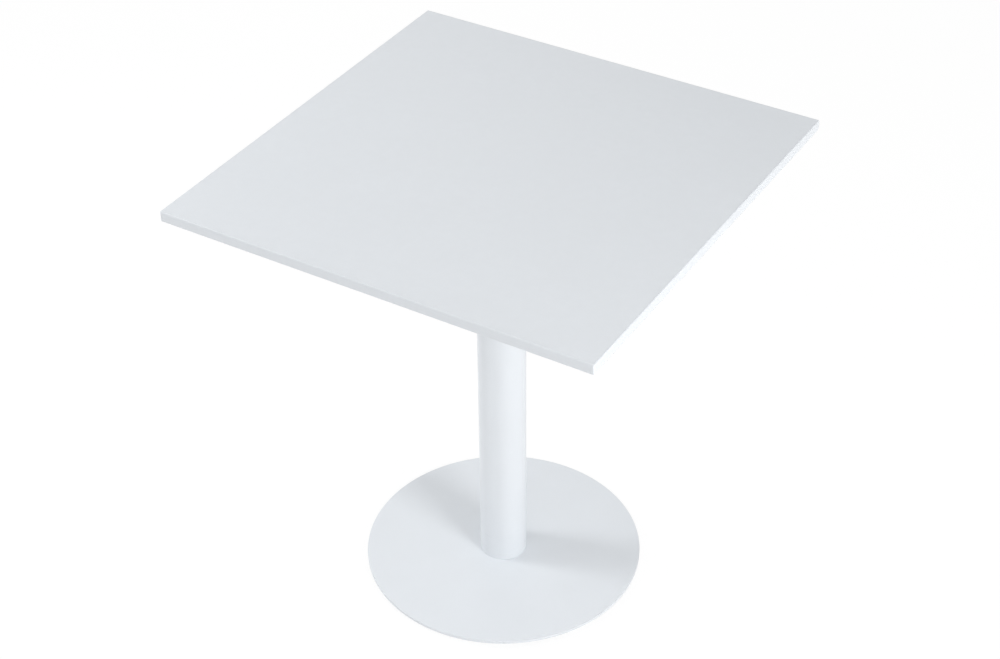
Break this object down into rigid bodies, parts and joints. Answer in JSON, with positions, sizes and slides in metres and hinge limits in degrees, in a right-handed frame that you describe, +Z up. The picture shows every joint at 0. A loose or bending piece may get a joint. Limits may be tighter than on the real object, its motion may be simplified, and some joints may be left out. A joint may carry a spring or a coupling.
{
  "type": "bistro table",
  "caption": "Square pedestal bistro table: laminated top on a steel cross, one round column and a round steel disc with levelling glides.",
  "frame": {"origin": "on the floor, on the column's axis, with the levelling glides screwed fully in", "axes": "+Z up along the column; the table top's sides run along X and Y; the front is the -Y side"},
  "size_m": [0.7, 0.7, 0.763],
  "materials": {
    "top_laminate": "fine matte white decor laminate",
    "underside_laminate": "plain white balancing sheet",
    "core_board": "pressed particle board, uncoated",
    "edge_band": "white moulded edge band, satin",
    "zinc_hardware": "bright zinc plating",
    "spider_powder_coat": "white powder coat, satin",
    "column_powder_coat": "white powder coat, satin, fine orange peel",
    "flange_powder_coat": "white powder coat, thin",
    "base_powder_coat": "white powder coat, satin, fine orange peel",
    "glide_steel": "bright zinc plating",
    "glide_nylon": "dark grey moulded nylon",
    "glide_sole": "dense grey felt"
  },
  "bodies": {
    "table": {"top_laminate": "top_laminate", "underside_laminate": "underside_laminate", "top_core_board": "core_board", "edge_band_front": "edge_band", "edge_band_back": "edge_band", "edge_band_left": "edge_band", "edge_band_right": "edge_band", "top_inserts": "zinc_hardware", "top_screws": "zinc_hardware", "top_screw_washers": "zinc_hardware", "spider_screws": "zinc_hardware", "base_screws": "zinc_hardware", "top_spider": "spider_powder_coat", "column_tube": "column_powder_coat", "column_head_flange": "flange_powder_coat", "column_foot_flange": "flange_powder_coat", "base_plate": "base_powder_coat", "glide_bosses": "base_powder_coat"},
    "foot_front_left": {"glide_pad_front_left": "glide_nylon", "glide_sole_front_left": "glide_sole"},
    "stud_front_left": {"glide_stud_front_left": "glide_steel"},
    "foot_front_right": {"glide_pad_front_right": "glide_nylon", "glide_sole_front_right": "glide_sole"},
    "stud_front_right": {"glide_stud_front_right": "glide_steel"},
    "foot_back_left": {"glide_pad_back_left": "glide_nylon", "glide_sole_back_left": "glide_sole"},
    "stud_back_left": {"glide_stud_back_left": "glide_steel"},
    "foot_back_right": {"glide_pad_back_right": "glide_nylon", "glide_sole_back_right": "glide_sole"},
    "stud_back_right": {"glide_stud_back_right": "glide_steel"}
  },
  "joints": [
    {"name": "glide_front_left_travel", "type": "slide", "parent": "table", "child": "foot_front_left", "axis": [0, 0, -1], "range_m": [0, 0.003]},
    {"name": "glide_front_left_turn", "type": "hinge", "parent": "foot_front_left", "child": "stud_front_left", "pos_m": [-0.14142, -0.14142, 0], "axis": [0, 0, -1], "range_deg": [0, 864]},
    {"name": "glide_front_right_travel", "type": "slide", "parent": "table", "child": "foot_front_right", "axis": [0, 0, -1], "range_m": [0, 0.003]},
    {"name": "glide_front_right_turn", "type": "hinge", "parent": "foot_front_right", "child": "stud_front_right", "pos_m": [0.14142, -0.14142, 0], "axis": [0, 0, -1], "range_deg": [0, 864]},
    {"name": "glide_back_left_travel", "type": "slide", "parent": "table", "child": "foot_back_left", "axis": [0, 0, -1], "range_m": [0, 0.003]},
    {"name": "glide_back_left_turn", "type": "hinge", "parent": "foot_back_left", "child": "stud_back_left", "pos_m": [-0.14142, 0.14142, 0], "axis": [0, 0, -1], "range_deg": [0, 864]},
    {"name": "glide_back_right_travel", "type": "slide", "parent": "table", "child": "foot_back_right", "axis": [0, 0, -1], "range_m": [0, 0.003]},
    {"name": "glide_back_right_turn", "type": "hinge", "parent": "foot_back_right", "child": "stud_back_right", "pos_m": [0.14142, 0.14142, 0], "axis": [0, 0, -1], "range_deg": [0, 864]}
  ],
  "couplings": [
    {"joint": "glide_front_left_turn", "follows": "glide_front_left_travel", "rad_per_m": 5026.5},
    {"joint": "glide_front_right_turn", "follows": "glide_front_right_travel", "rad_per_m": 5026.5},
    {"joint": "glide_back_left_turn", "follows": "glide_back_left_travel", "rad_per_m": 5026.5},
    {"joint": "glide_back_right_turn", "follows": "glide_back_right_travel", "rad_per_m": 5026.5}
  ]
}
